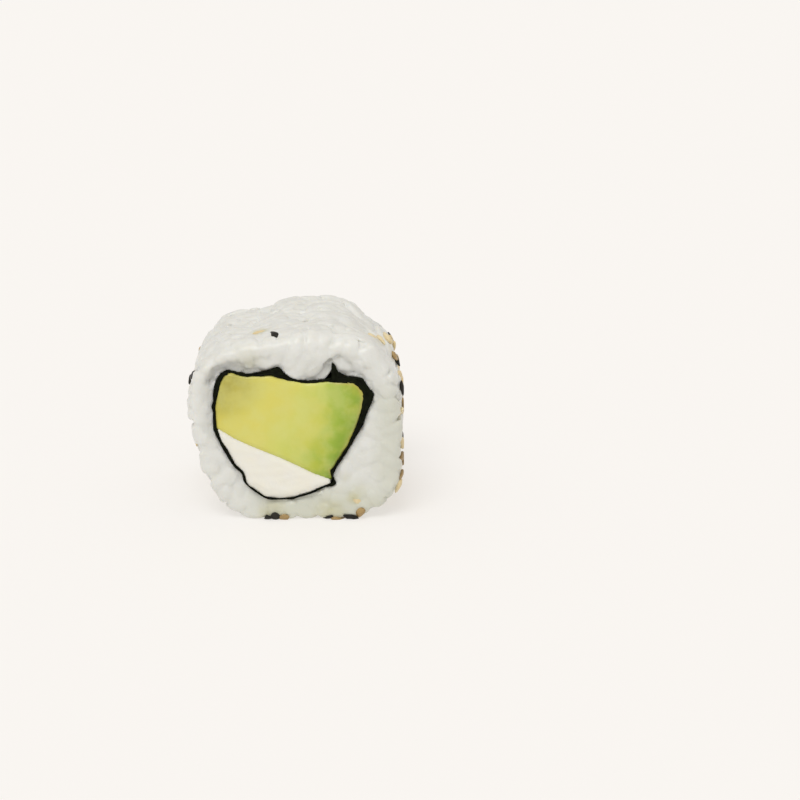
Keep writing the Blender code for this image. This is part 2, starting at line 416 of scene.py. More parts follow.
nori = {
    "outside": (                           # the sheet in the front cut, X and Z in millimetres
        (11.9, 16.0), (12.5, 17.2), (13.1, 19.0), (13.5, 20.2), (14.2, 21.5), (14.45, 22.9), (13.6, 23.7),
        (13.0, 24.7), (12.4, 25.6), (10.7, 25.75), (9.4, 25.95), (8.5, 26.45), (7.9, 26.9), (7.8, 27.9),
        (7.05, 28.6), (7.2, 27.1), (7.1, 25.5), (5.3, 25.2), (2.7, 25.1), (1.0, 25.4), (-0.1, 25.8),
        (-0.8, 26.4), (-1.4, 27.2), (-2.1, 27.75), (-3.0, 27.45), (-3.9, 27.2), (-4.6, 26.85),
        (-6.2, 26.5), (-7.3, 26.3), (-8.6, 26.5), (-9.6, 26.8), (-11.0, 27.1), (-12.0, 26.55),
        (-12.8, 25.6), (-13.2, 24.6), (-13.5, 23.2), (-13.45, 21.5), (-13.9, 20.7), (-13.6, 19.7),
        (-13.6, 16.4), (-13.1, 15.1), (-12.3, 13.5), (-10.9, 10.8), (-10.1, 9.5), (-9.4, 8.9),
        (-8.8, 8.3), (-8.7, 7.3), (-8.4, 6.5), (-7.2, 5.3), (-5.0, 3.75), (-4.1, 3.4), (0.3, 3.45),
        (1.1, 3.85), (3.6, 4.5), (5.9, 5.75), (7.2, 5.85), (7.9, 6.4), (7.35, 7.2), (7.2, 8.1),
        (7.9, 9.5), (9.6, 12.1), (10.5, 13.6), (11.2, 15.0)),
    "inside": (
        (10.75, 16.0), (11.75, 18.7), (12.2, 20.8), (12.4, 22.0), (12.1, 23.1), (11.6, 24.0), (10.8, 24.6),
        (9.3, 24.7), (7.0, 24.9), (4.8, 24.65), (2.6, 24.55), (1.2, 24.8), (-0.6, 25.25), (-3.5, 26.15),
        (-5.0, 26.0), (-7.4, 25.7), (-8.7, 25.9), (-10.4, 26.5), (-11.4, 26.05), (-11.95, 25.1),
        (-12.7, 22.2), (-13.0, 20.4), (-12.9, 16.9), (-12.1, 14.5), (-11.2, 13.0), (-9.9, 10.3),
        (-8.4, 8.8), (-8.1, 8.0), (-7.9, 7.0), (-7.5, 6.3), (-6.1, 5.3), (-4.8, 4.3), (-2.3, 3.9),
        (0.2, 4.2), (3.2, 5.2), (5.4, 6.2), (7.0, 6.75), (6.7, 8.0), (6.6, 8.9), (7.4, 10.0), (9.8, 13.8)),
    "spike": (6.4, 8.9, 26.1),             # where the outside leaves the sheet: X from and to, lowest Z
    "shift": -0.73,                        # from those X to the roll's
    "axis": (-1.0, 16.0),
    "twist": 4.0,                          # degrees it turns on its way to the back
    "drift": (0.9, -0.8),                  # and how far it moves, in millimetres
    "length": 32 * mm,
    "around": 560,                         # points round the loop, along the roll and over a cut edge
    "sections": 22,
    "across": 12,
    "thin": ((6.0, 10.5), (0.34, 0.16)),   # at these Z this much thinner than between the two lines
    "least": ((6.0, 10.5), (0.15, 0.22)),  # but never thinner than this
    "inset": 0.35 * mm,                    # cut edge behind the cut face
    "thinInset": 0.4 * mm,                 # more where the sheet only shows as a fine line on top
    "thinFrom": 24.3,                      # above this Z
    "uneven": 0.12 * mm,
    "ragged": 0.07 * mm,
    "raggedSize": 0.8 * mm,
    "foldDepth": 0.18 * mm,                # grooves between the layers on the cut edge
    "foldWidth": 0.5 * mm,
    "foldSway": 0.15 * mm,                 # how far a groove wanders
    "crumb": 0.1 * mm,                     # unevenness of the cut edge itself
}


def makeNoriMaterial():
    material, tree, shader, place = newMaterial("driedSeaweed", {"Specular IOR Level": 0.12, "IOR": 1.4})
    blotches = placed(tree, softBlotches, -900, 200, Vector=place, Base=(0.0030, 0.0036, 0.0012, 1.0),
                      Blotch=(0.0070, 0.0100, 0.0025, 1.0), Scale=900.0, Amount=0.8, Edge=0.12)
    tree.links.new(blotches["Color"], shader.inputs["Base Color"])
    surfaced(tree, shader, place, (1200.0, 0.45, 0.75), (1500.0, 6000.0, 0.4), 0.6, 0.2 * mm)
    return material


def closedLine(corners, count):
    # evenly spread points along a closed line, its corners a little rounded
    line = np.array(corners + corners[:1])
    lengths = np.concatenate([[0.0], np.cumsum(np.linalg.norm(np.diff(line, axis=0), axis=1))])
    at = np.linspace(0.0, lengths[-1], count, endpoint=False)
    even = np.stack([np.interp(at, lengths, line[:, axis]) for axis in (0, 1)], axis=1)
    for _ in range(3):
        even = (np.roll(even, 1, axis=0) + 2 * even + np.roll(even, -1, axis=0)) / 4
    return even


def facingLine(outside, inside):
    # for each point of the outside its partner on the inside, always going forward
    left, right, top = nori["spike"]
    base = outside.copy()
    onSpike = (base[:, 0] > left) & (base[:, 0] < right)
    base[onSpike, 1] = np.minimum(base[onSpike, 1], top)
    nearest = np.argmin(((base[:, None] - inside[None]) ** 2).sum(axis=2), axis=1)
    count, total = len(base), len(inside)
    ahead = (nearest - nearest[0]) % total
    order = np.arange(count)
    ahead = np.where((order < count / 4) & (ahead > total * 0.8), ahead - total, ahead)
    ahead = np.where((order > count * 3 / 4) & (ahead < total * 0.2), ahead + total, ahead)
    ahead = np.maximum.accumulate(ahead)
    ahead = np.convolve(np.pad(ahead, 6, "reflect", reflect_type="odd"), np.ones(13) / 13, "valid")
    at = (ahead + nearest[0]) % total
    steps = np.arange(total)
    return np.stack([np.interp(at, steps, inside[:, axis], period=total) for axis in (0, 1)], axis=1)


def carriedBack(line, depth):
    # points of the front cut, moved to this depth with the turn and drift of the filling
    share = (0.5 + depth / nori["length"])[:, None]
    axis = np.array(nori["axis"])
    turn = np.radians(nori["twist"]) * share[:, 0]
    x, z = (line - axis).T
    place = np.stack([x * np.cos(turn) - z * np.sin(turn), x * np.sin(turn) + z * np.cos(turn)], axis=1)
    place = (place + axis + np.array(nori["drift"]) * share) * mm
    return np.stack([place[:, 0] + nori["shift"] * mm, depth, place[:, 1]], axis=1)


def makeNori():
    outside = closedLine(nori["outside"], nori["around"])
    inside = facingLine(outside, closedLine(nori["inside"], nori["around"] * 4))
    across = outside - inside
    thickness = np.linalg.norm(across, axis=1)
    thin, least = (np.interp(outside[:, 1], *nori[name]) for name in ("thin", "least"))
    trim = np.minimum(thin, np.clip(thickness - least, 0.0, None)) / thickness / 2
    outside, inside = outside - across * trim[:, None], inside + across * trim[:, None]
    thickness *= (1.0 - 2 * trim) * mm
    half = cutLevel - nori["inset"]
    middle = carriedBack(outside, np.zeros(len(outside)))
    fine = (1.0 - smoothStep(0.25 * mm, 0.6 * mm, thickness)) * (outside[:, 1] > nori["thinFrom"])
    fine = np.convolve(np.pad(fine, 4, "wrap"), np.ones(9) / 9, "valid") * nori["thinInset"]
    edges = [way * (half - fine + nori["uneven"] * noiseAt(middle, 2.0 * mm, seed))
             for way, seed in ((-1, 3.0), (1, 6.0))]
    rows = []
    for line, seed in ((outside, 1.0), (inside, 2.0)):
        for share in np.linspace(0.0, 1.0, nori["sections"]):
            depth = edges[0] + (edges[1] - edges[0]) * share
            row = carriedBack(line, depth)
            ragged = noiseAt(row, nori["raggedSize"], seed)
            ragged += 0.5 * noiseAt(row, nori["raggedSize"] / 2.5, seed)
            out = np.roll(row, -1, axis=0) - np.roll(row, 1, axis=0)
            out = np.stack([out[:, 2], out[:, 1] * 0.0, -out[:, 0]], axis=1)
            out /= np.linalg.norm(out, axis=1)[:, None] + 1e-9
            rows.append(row + out * (ragged * nori["ragged"])[:, None])
    outer, inner = rows[:nori["sections"]], rows[nori["sections"]:][::-1]

    def cutEdge(first, last, way):
        # rows over a cut edge, with grooves where one layer lies on the next
        between = []
        for share in np.linspace(0.0, 1.0, nori["across"])[1:-1]:
            row = first + (last - first) * share
            off = share * thickness + nori["foldSway"] * noiseAt(row, 1.5 * mm, 4.0)
            groove = (1.0 - np.abs(np.sin(np.pi * off / nori["foldWidth"]))) * nori["foldDepth"]
            row[:, 1] -= way * (groove + nori["crumb"] * noiseAt(row, 0.7 * mm, 8.0))
            between.append(row)
        return between

    loops = outer + cutEdge(outer[-1], inner[0], 1) + inner + cutEdge(inner[-1], outer[0], -1)
    around = len(outside)
    faces = []
    for row in range(len(loops)):
        after = (row + 1) % len(loops)
        for k in range(around):
            n = (k + 1) % around
            faces.append((row * around + k, row * around + n, after * around + n, after * around + k))
    mesh = bpy.data.meshes.new("noriSheet")
    mesh.from_pydata(np.concatenate(loops).tolist(), [], faces)
    work = bmesh.new()
    work.from_mesh(mesh)
    bmesh.ops.recalc_face_normals(work, faces=work.faces)
    work.to_mesh(mesh)
    work.free()
    wall = [tuple(mesh.polygons[index].vertices) for index in range((nori["sections"] - 1) * around)]
    return newObject("noriSheet", mesh), BVHTree.FromPolygons([v.co for v in mesh.vertices], wall)


cadNoriTree = treeOf(frame["nodes"]["nori"])
noriSheet, wallTree = makeNori()
sheetTree = treeOf(noriSheet)
finishPiece(noriSheet, makeNoriMaterial(), "nori", "nori")


# filling

filling = {
    "voxel": 0.3 * mm,
    "grow": 0.08 * mm,             # how far a filling reaches into the sheet round it
    "reach": 1.0 * mm,             # only what is this near to the sheet grows
    "wave": 0.09 * mm,             # uneven cut face
    "waveSize": 3.5 * mm,
    "smear": 0.07 * mm,            # knife smears on the cheese
    "rim": 0.6 * mm,               # width of the tinted edge band: on the avocado along the nori, on the cheese along the avocado
    "most": 45000,                 # triangles
}
avocado = {
    "skinSide": 5.0 * mm,          # the green side is the wall to the right of this X
    "depth": 25.0 * mm,            # the colours below run this far in from it
    "browned": (-13.2 * mm, 26.0 * mm),    # X and Z of the corner painted with khaki shade
    "paintedCornerShadeReach": (1.0 * mm, 9.5 * mm),
    # the colour of that painted shade in the corner
    "khaki": (0.36, 0.325, 0.065, 1.0),
    "colours": (                   # share of the depth, colour
        (0.0, (0.185, 0.310, 0.018)), (0.05, (0.245, 0.380, 0.026)), (0.13, (0.335, 0.465, 0.040)),
        (0.21, (0.425, 0.530, 0.072)), (0.25, (0.540, 0.600, 0.110)), (0.40, (0.640, 0.650, 0.145)),
        (0.60, (0.695, 0.655, 0.150)), (0.80, (0.685, 0.630, 0.122)), (1.0, (0.565, 0.510, 0.090))),
}


def makeAvocadoMaterial():
    material, tree, shader, place = newMaterial("ripeAvocado", {
        "Subsurface Weight": 0.12, "Subsurface Radius": (1.0, 0.9, 0.3), "Subsurface Scale": 1.0 * mm,
        "Coat Weight": 0.2, "Coat Roughness": 0.2, "IOR": 1.45, "Specular IOR Level": 0.4})
    depth = painted(tree, "skinDepth", 300)
    sway = addNode(tree, "ShaderNodeTexNoise", -1600, 550, {"Vector": place, "Scale": 160.0, "Detail": 3.0})
    shifted = addNode(tree, "ShaderNodeMath", -1350, 400,
                      {0: sway.outputs["Fac"], 1: 0.12, 2: depth}, operation="MULTIPLY_ADD")
    centred = addNode(tree, "ShaderNodeMath", -1200, 400, {0: shifted.outputs[0], 1: 0.06},
                      operation="SUBTRACT")
    ramp = addNode(tree, "ShaderNodeValToRGB", -1050, 400, {"Fac": centred.outputs[0]})
    stops = ramp.color_ramp.elements
    for _ in avocado["colours"][2:]:
        stops.new(0.5)
    for stop, (share, colour) in zip(stops, avocado["colours"]):
        stop.position, stop.color = share, (*colour, 1.0)
    edge = painted(tree, "rim", 100)
    corner = painted(tree, "browned", -100)
    # painted shade: the top-left corner darkened to khaki
    cornerShaded = mixColour(tree, corner, ramp.outputs["Color"], avocado["khaki"], -900, 400)
    rimmed = mixColour(tree, edge, cornerShaded, (0.40, 0.37, 0.075, 1.0), -750, 400)
    golden = placed(tree, softBlotches, -650, 200, Vector=place, Base=rimmed,
                    Blotch=(0.71, 0.615, 0.085, 1.0), Scale=190.0, Amount=0.32, Edge=0.12)
    blotches = placed(tree, softBlotches, -450, 200, Vector=place, Base=golden["Color"],
                      Blotch=(0.68, 0.69, 0.26, 1.0), Scale=330.0, Amount=0.3, Edge=0.18)
    tree.links.new(blotches["Color"], shader.inputs["Base Color"])
    surfaced(tree, shader, place, (600.0, 0.32, 0.5), (500.0, 1900.0, 0.3), 0.3, 0.2 * mm)
    return material


def makeCheeseMaterial():
    material, tree, shader, place = newMaterial("creamCheese", {
        "Subsurface Weight": 0.2, "Subsurface Radius": (1.0, 0.9, 0.7), "Subsurface Scale": 1.2 * mm,
        "Coat Weight": 0.1, "Coat Roughness": 0.35, "IOR": 1.42})
    edge = painted(tree, "rim", 100)
    edgeTinted = mixColour(tree, edge, (0.85, 0.83, 0.735, 1.0), (0.78, 0.76, 0.48, 1.0), -1100, 300)
    blotches = placed(tree, softBlotches, -800, 200, Vector=place, Base=edgeTinted,
                      Blotch=(0.84, 0.83, 0.77, 1.0), Scale=260.0, Amount=0.6, Edge=0.15)
    tree.links.new(blotches["Color"], shader.inputs["Base Color"])
    surfaced(tree, shader, place, (500.0, 0.4, 0.6), (420.0, 2200.0, 0.25), 0.4, 0.25 * mm)
    return material


def makeFilling(name, node, other):
    # grows until it touches the nori round it and the other filling
    piece = remeshed(copyOfNode(node, name), filling["voxel"], 1)
    points, normals = vectorsOf(piece.data), vectorsOf(piece.data, "normal")
    otherTree = treeOf(frame["nodes"][other])
    side = 1.0 - smoothStep(0.5, 0.9, np.abs(normals[:, 1]))
    toSheet, toOther = distances(points, sheetTree), distances(points, otherTree)
    gap = np.where(toSheet < toOther, toSheet, toOther * (0.5 if node == "avocado" else 0.6))
    grown = np.where(np.minimum(toSheet, toOther) < filling["reach"], gap + filling["grow"], 0.0) * side
    wave = noiseAt(points, filling["waveSize"], 5.0) * filling["wave"]
    if node == "cream_cheese":
        ridges = np.abs(noiseAt(points * [0.5, 1.0, 1.8], 2.2 * mm, 9.0))
        wave -= (1.0 - np.clip(ridges * 4.0, 0.0, 1.0)) * filling["smear"]
    flow = normals * np.array([1.0, 0.0, 1.0])
    points += flow * grown[:, None]
    points[:, 1] += normals[:, 1] * (1.0 - side) * wave
    setPoints(piece.data, points)
    toEdge = toOther if other == "avocado" else toSheet
    setAttribute(piece.data, "rim", 1.0 - smoothStep(0.0, filling["rim"], toEdge))
    step = piece.modifiers.new("lighter", "DECIMATE")
    step.ratio = min(1.0, filling["most"] / (2 * len(piece.data.polygons)))
    return bake(piece)


def paintSkinDepth(piece):
    # how far each point lies from the green side, measured in the cut's plane
    points, normals = vectorsOf(piece.data), vectorsOf(piece.data, "normal")
    onSkin = (normals[:, 0] > 0.45) & (points[:, 0] > avocado["skinSide"]) & (np.abs(normals[:, 1]) < 0.5)
    skin = points[onSkin][::7]
    flatten = np.array([1.0, 0.15, 1.0])
    depth = [np.sqrt((((skin - point) * flatten) ** 2).sum(axis=1).min()) for point in points]
    setAttribute(piece.data, "skinDepth", np.array(depth) / avocado["depth"])
    # painted shade: darker khaki towards the top-left corner, by the nori
    corner = np.linalg.norm(points[:, [0, 2]] - np.array(avocado["browned"]), axis=1)
    setAttribute(piece.data, "browned", 1.0 - smoothStep(*avocado["paintedCornerShadeReach"], corner))


avocadoSlice = makeFilling("avocadoSlice", "avocado", "cream_cheese")
paintSkinDepth(avocadoSlice)
finishPiece(avocadoSlice, makeAvocadoMaterial(), "avocado", "avocado")
creamCheese = makeFilling("creamCheese", "cream_cheese", "avocado")
finishPiece(creamCheese, makeCheeseMaterial(), "cream_cheese", "cream_cheese")


# rice

rice = {
    "spacing": 2.75 * mm,          # least distance between two grains before they are packed
    "seed": 4,
    "length": 5.2 * mm,            # one cooked grain
    "width": 2.5 * mm,
    "height": 2.2 * mm,
    "bend": 0.35 * mm,
    "kinds": 6,                    # different grains
    "sizes": (0.88, 1.12),
    "rounds": 50,                  # how long the grains push each other apart
    "firm": 0.95,
    "sideSlant": 0.25,             # how far a grain's end rises from the surface, sine
    "faceSlant": 0.6,
    "sink": 0.95 * mm,             # middle of a grain under the heap's surface
    "faceSink": 0.75 * mm,
    "over": 0.05 * mm,             # how far a grain may stand over the heap's surface
    "flattening": 0.85,
    "holeReach": 0.75 * mm,        # no grains on the sides of the hole, this near to the nori
    "closeReach": 0.9 * mm,        # and there the core closes up on it
    "coreInset": 1.2 * mm,         # the core, under the heap's surface
    "faceInset": 0.35 * mm,        # and on the cut faces
    "voxel": 0.25 * mm,
    "softening": 3,
    "most": 190000,                # triangles of the fused heap
    "touch": 0.08 * mm,            # how far the rice reaches into the nori
    "smear": 0.52,                 # how much the blade and wet hands smooth the cuts and the top
    "dents": ((-7.8, 5.0, 0.75), (12.6, 3.4, 0.8)),   # across the back of the top: X, half width, depth
    "hollow": 1.15 * mm,           # how deep the cut faces fall back by the nori, at most
    "tintsAndShade": (                    # tan tints by the seeds, and painted shade under the front edge at the foot and in the hollow above the nori: X, Y, Z and reach in millimetres, strength
        (-6.2, -8.6, 32.2, 2.2, 0.75), (13.4, -7.2, 30.9, 3.4, 0.45), (16.9, -1.0, 26.0, 2.0, 0.5),
        (9.9, -15.9, 3.9, 1.7, 0.8), (11.2, -15.9, 5.2, 1.6, 0.4), (8.6, -15.6, 7.6, 1.4, 0.35),
        # the two at the foot are seed tint and painted shade under the front edge, the last is painted
        # shade in the hollow above the nori on the left
        (-4.0, -16.0, 1.0, 3.5, 0.8), (6.0, -16.0, 0.8, 4.0, 0.8), (-8.0, -14.5, 29.0, 3.5, 0.35)),
    # the tan of the seed tints and of the painted shade
    "stain": (0.55, 0.53, 0.33, 1.0),
    "damp": (0.63, 0.64, 0.55, 1.0),       # painted shade, low down by the floor and on the right of the front
    "colour": (0.75, 0.755, 0.715, 1.0),
    "clear": (0.68, 0.685, 0.64, 1.0),     # the glassier grains
}


def makeRiceMaterial():
    material, tree, shader, place = newMaterial("stickyRice", {
        "Subsurface Weight": 0.25, "Subsurface Radius": (1.0, 0.85, 0.65), "Subsurface Scale": 1.2 * mm,
        "Coat Weight": 0.25, "Coat Roughness": 0.25, "IOR": 1.42})
    tone = painted(tree, "tone", 300)
    base = mixColour(tree, tone, rice["colour"], rice["clear"], -1200, 300)
    blotches = placed(tree, softBlotches, -900, 200, Vector=place, Base=base,
                      Blotch=(0.80, 0.81, 0.79, 1.0), Scale=420.0, Amount=0.5, Edge=0.2)
    # painted shade, low down by the floor and on the right of the front
    damp = painted(tree, "damp", 500)
    # tan seed tints, with painted shade at the foot and in the hollow above the nori
    stain = painted(tree, "stain", 700)
    shadedRice = mixColour(tree, damp, blotches["Color"], rice["damp"], -600, 300)
    tree.links.new(mixColour(tree, stain, shadedRice, rice["stain"], -400, 300), shader.inputs["Base Color"])
    surfaced(tree, shader, place, (700.0, 0.28, 0.5), (650.0, 2600.0, 0.3), 0.35, 0.25 * mm)
    return material


def closeTube(work, loops, tipAt):
    # skins rings of points from end to end, with a point at each tip
    around = len(loops[0])
    for first, second in zip(loops, loops[1:]):
        for k in range(around):
            n = (k + 1) % around
            work.faces.new((first[k], second[k], second[n], first[n]))
    for loop, x in ((loops[0], -tipAt), (loops[-1], tipAt)):
        tip = work.verts.new((x, 0.0, 0.0))
        for k in range(around):
            work.faces.new((tip, loop[k], loop[(k + 1) % around]))
    bmesh.ops.recalc_face_normals(work, faces=work.faces)


def grainMesh(name, chance):
    # a bean of rings: round, a little bent and thinner at one end
    rings, around = 7, 10
    length = rice["length"] * chance.uniform(0.92, 1.08)
    width = rice["width"] * chance.uniform(0.92, 1.1)
    height = rice["height"] * chance.uniform(0.92, 1.08)
    bend, taper = rice["bend"] * chance.uniform(-1, 1), chance.uniform(0.0, 0.22)
    work = bmesh.new()

    def point(along, angle):
        share = math.sin(math.acos(clamp(along, -1, 1))) ** 0.75 * (1.0 - taper * along)
        x = along * length / 2
        y = share * math.cos(angle) * width / 2 + bend * (1 - along * along)
        z = share * math.sin(angle) * height / 2
        return Vector((x, y, z))

    loops = []
    for ring in range(rings):
        along = -math.cos(math.pi * (ring + 1) / (rings + 1))
        loops.append([work.verts.new(point(along, math.tau * k / around)) for k in range(around)])
    closeTube(work, loops, length / 2)
    mesh = bpy.data.meshes.new(name)
    work.to_mesh(mesh)
    work.free()
    return mesh


def shapeSet(name, seed, count, makeShape):
    # a few different shapes of one kind, to pick from
    chance = random.Random(seed)
    group = bpy.data.collections.new(name)
    for index in range(count):
        label = f"{name}{index}"
        group.objects.link(bpy.data.objects.new(label, makeShape(label, chance)))
    return group


def dropSet(group):
    for ob in list(group.objects):
        dropObject(ob)
    bpy.data.collections.remove(group)


def makeSpots():
    tree, given, result = newGroup("spotsOnSurface", "GeometryNodeTree", [
        ("Geometry", "INPUT", "Geometry", None), ("Spacing", "INPUT", "Float", 2.0 * mm),
        ("Seed", "INPUT", "Int", 0), ("Geometry", "OUTPUT", "Geometry", None)])
    cover = addNode(tree, "GeometryNodeInputNamedAttribute", -700, -250, {"Name": "cover"},
                    data_type="FLOAT")
    spots = addNode(tree, "GeometryNodeDistributePointsOnFaces", -400, 0,
                    {"Mesh": given["Geometry"], "Distance Min": given["Spacing"], "Density Max": 4e6,
                     "Density Factor": cover.outputs["Attribute"], "Seed": given["Seed"]},
                    distribute_method="POISSON")
    points = addNode(tree, "GeometryNodePointsToVertices", 0, 0, {"Points": spots.outputs["Points"]})
    real = addNode(tree, "GeometryNodeRealizeInstances", 400, 0, {0: points.outputs[0]})
    tree.links.new(real.outputs[0], result["Geometry"])
    return tree


def makePlacing():
    tree, given, result = newGroup("shapesOnSpots", "GeometryNodeTree", [
        ("Geometry", "INPUT", "Geometry", None), ("Shapes", "INPUT", "Collection", None),
        ("Material", "INPUT", "Material", None), ("Smallest", "INPUT", "Float", 0.9),
        ("Largest", "INPUT", "Float", 1.1), ("Seed", "INPUT", "Int", 0),
        ("Geometry", "OUTPUT", "Geometry", None)])
    turn = addNode(tree, "GeometryNodeInputNamedAttribute", -700, -250, {"Name": "turn"},
                   data_type="FLOAT_VECTOR")
    facing = addNode(tree, "FunctionNodeEulerToRotation", -450, -250, {0: turn.outputs["Attribute"]})
    shapes = addNode(tree, "GeometryNodeCollectionInfo", -450, 250,
                     {"Collection": given["Shapes"], "Separate Children": True, "Reset Children": True})
    put = addNode(tree, "GeometryNodeInstanceOnPoints", 0, 0,
                  {"Points": given["Geometry"], "Instance": shapes.outputs[0], "Pick Instance": True,
                   "Instance Index": randomValue(tree, "INT", 0, 1000, given["Seed"], -250, 150),
                   "Rotation": facing.outputs[0],
                   "Scale": randomValue(tree, "FLOAT", given["Smallest"], given["Largest"], given["Seed"],
                                        -250, -450)})
    tone = addNode(tree, "GeometryNodeStoreNamedAttribute", 250, 0,
                   {"Geometry": put.outputs[0], "Name": "tone",
                    "Value": randomValue(tree, "FLOAT", 0.0, 1.0, 4, 0, -300)},
                   data_type="FLOAT", domain="INSTANCE")
    real = addNode(tree, "GeometryNodeRealizeInstances", 450, 0, {0: tone.outputs[0]})
    dressed = addNode(tree, "GeometryNodeSetMaterial", 650, 0,
                      {"Geometry": real.outputs[0], "Material": given["Material"]})
    tree.links.new(dressed.outputs[0], result["Geometry"])
    return tree


def runTree(ob, tree, **values):
    step = ob.modifiers.new(tree.name, "NODES")
    step.node_group = tree
    labels = {item.name: item.identifier for item in tree.interface.items_tree
              if item.item_type == "SOCKET" and item.in_out == "INPUT"}
    for label, value in values.items():
        step[labels[label]] = value
    return bake(ob)


spotsOnSurface, shapesOnSpots = makeSpots(), makePlacing()


def spotsOn(surface, cover, **values):
    # evenly spread places on a surface, thinned by cover
    ob = newObject("spots", surface.data.copy())
    setAttribute(ob.data, "cover", cover)
    runTree(ob, spotsOnSurface, **values)
    points = vectorsOf(ob.data)
    dropObject(ob)
    return points


def putShapes(name, points, longWays, outWays, shapes, material, **values):
    # one shape for each place: its long side along longWays, its top towards outWays
    mesh = bpy.data.meshes.new(name)
    mesh.from_pydata(points.tolist(), [], [])
    turns = []
    for along, out in zip(longWays, outWays):
        x = Vector(along).normalized()
        y = Vector(out).cross(x).normalized()
        turns.append(Matrix((x, y, x.cross(y))).transposed().to_euler()[:])
    mesh.attributes.new("turn", "FLOAT_VECTOR", "POINT").data.foreach_set("vector", np.ravel(turns))
    return runTree(newObject(name, mesh), shapesOnSpots, Shapes=shapes, Material=material, **values)


def shapedGuide(mesh):
    # a few dents, and the rice comes forward again close to the nori
    points, normals = vectorsOf(mesh), vectorsOf(mesh, "normal")
    x, y, z = points.T / mm
    backOfTop = smoothStep(22.0, 28.0, z) * smoothStep(-9.0, 3.0, y)
    for middle, width, depth in rice["dents"]:
        across = 1.0 - smoothStep(0.2, 1.0, np.abs(x - middle) / width)
        points[:, 2] -= across * backOfTop * depth * mm
    way = np.sign(points[:, 1])
    near = 1.0 - smoothStep(2.8 * mm, 4.8 * mm, distances(points, wallTree, 6 * mm))
    near *= smoothStep(0.25, 0.5, normals[:, 1] * way)
    short = np.clip(cutLevel - rice["hollow"] - points[:, 1] * way, 0.0, None)
    points[:, 1] += way * short * near
    setPoints(mesh, points)


riceMaterial = makeRiceMaterial()
guide = remeshed(copyOfNode("rice", "riceGuide"), 0.5 * mm)
shapedGuide(guide.data)
guideTree = treeOf(guide)
noriReach = (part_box("nori")[0][1] + 0.2 * mm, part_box("nori")[1][1] - 0.2 * mm)


def toWall(point, reach):
    # the nearest spot on the nori's outer side and how far the point stands off it
    inside = Vector((point[0], clamp(point[1], *noriReach), point[2]))
    spot, normal, _, _ = wallTree.find_nearest(inside, reach)
    if spot is None:
        return None, None, reach
    normal = Vector((normal.x, 0.0, normal.z)).normalized()
    return spot, normal, (inside - spot).dot(normal)


def pressedOut(points, margin):
    # rice never crosses the nori: what would lies against it
    result = points.copy()
    for index, point in enumerate(points):
        spot, normal, off = toWall(point, 2.5 * mm)
        if off < margin:
            result[index, 0] += normal.x * (margin - off)
            result[index, 2] += normal.z * (margin - off)
    return result


def drawnTo(points, margin, reach):
    # the sides of the hole close up on the nori
    result = points.copy()
    for index, point in enumerate(points):
        spot, normal, off = toWall(point, reach)
        if spot is not None and -reach < off < reach:
            result[index, 0] += normal.x * (margin - off)
            result[index, 2] += normal.z * (margin - off)
    return result


def packed(places, chance):
    # grains push each other apart along the surface, each as a short row of balls
    along = np.array([-1.0, 0.0, 1.0]) * (rice["length"] - rice["width"]) / 2
    reach = rice["width"] * rice["firm"]
    count = len(places)
    ways = chance.normal(size=(count, 3))
    slant = chance.uniform(-1.0, 1.0, count)
    for turn in range(rice["rounds"]):
        outWays = np.empty_like(places)
        for index, place in enumerate(places):
            spot, normal, _, _ = guideTree.find_nearest(Vector(place))
            wall, wallNormal, _, length = wallTree.find_nearest(spot, rice["width"])
            if wall is not None and length < rice["width"] * 0.5:
                spot = spot + wallNormal * (rice["width"] * 0.5 - length)
            places[index], outWays[index] = spot, normal
        onFace = np.abs(outWays[:, 1]) > 0.8
        rise = slant * np.where(onFace, rice["faceSlant"], rice["sideSlant"])
        flat = ways - outWays * np.sum(ways * outWays, axis=1)[:, None]
        flat /= np.linalg.norm(flat, axis=1)[:, None]
        ways = flat * np.sqrt(1 - rise ** 2)[:, None] + outWays * rise[:, None]
        sink = np.where(onFace, rice["faceSink"], rice["sink"])
        balls = (places - outWays * sink[:, None])[:, None, :] + ways[:, None, :] * along[None, :, None]
        if turn % 10 == 0:
            gaps = np.linalg.norm(places[:, None] - places[None], axis=2)
            first, second = np.nonzero(np.triu(gaps < rice["length"] * 1.3, 1))
        push = np.zeros((count, 3))
        twist = np.zeros((count, 3))
        for a in range(3):
            for b in range(3):
                apart = balls[first, a] - balls[second, b]
                length = np.linalg.norm(apart, axis=1) + 1e-9
                shove = apart * (np.clip(reach - length, 0.0, None) / length * 0.25)[:, None]
                np.add.at(push, first, shove)
                np.add.at(push, second, -shove)
                np.add.at(twist, first, shove * along[a])
                np.add.at(twist, second, -shove * along[b])
        limit = np.clip(0.4 * mm / (np.linalg.norm(push, axis=1) + 1e-9), None, 1.0)
        places = places + push * limit[:, None]
        ways = ways + twist / (2 * along[2] ** 2) * 0.8
        ways /= np.linalg.norm(ways, axis=1)[:, None]
    return balls[:, 1], ways, outWays


def pressedIn(mesh, most):
    # the mat and the knife flatten what stands over the heap's surface
    points = vectorsOf(mesh)
    for index, point in enumerate(points):
        spot, normal, _, _ = guideTree.find_nearest(Vector(point))
        over = (Vector(point) - spot).dot(normal)
        if over > most:
            points[index] -= np.array(normal) * (over - most) * rice["flattening"]
    setPoints(mesh, points)


def withinRoll(mesh, margin):
    points = pressedOut(vectorsOf(mesh), margin)
    low, high = np.array(cadBox[0]), np.array(cadBox[1])
    setPoints(mesh, np.clip(points, low, high))


def smeared(mesh):
    # grains show less where the blade and wet hands went over them
    points = vectorsOf(mesh)
    found = [guideTree.find_nearest(Vector(point))[:2] for point in points]
    spots, outs = (np.array([pair[k] for pair in found]) for k in (0, 1))
    wiped = np.maximum(smoothStep(0.3, 0.8, np.abs(outs[:, 1])), smoothStep(0.0, 0.5, outs[:, 2]))
    clear = smoothStep(0.3 * mm, 1.3 * mm, distances(points, wallTree, 3 * mm))
    points += (spots - points) * (rice["smear"] * wiped * clear)[:, None]
    setPoints(mesh, points)


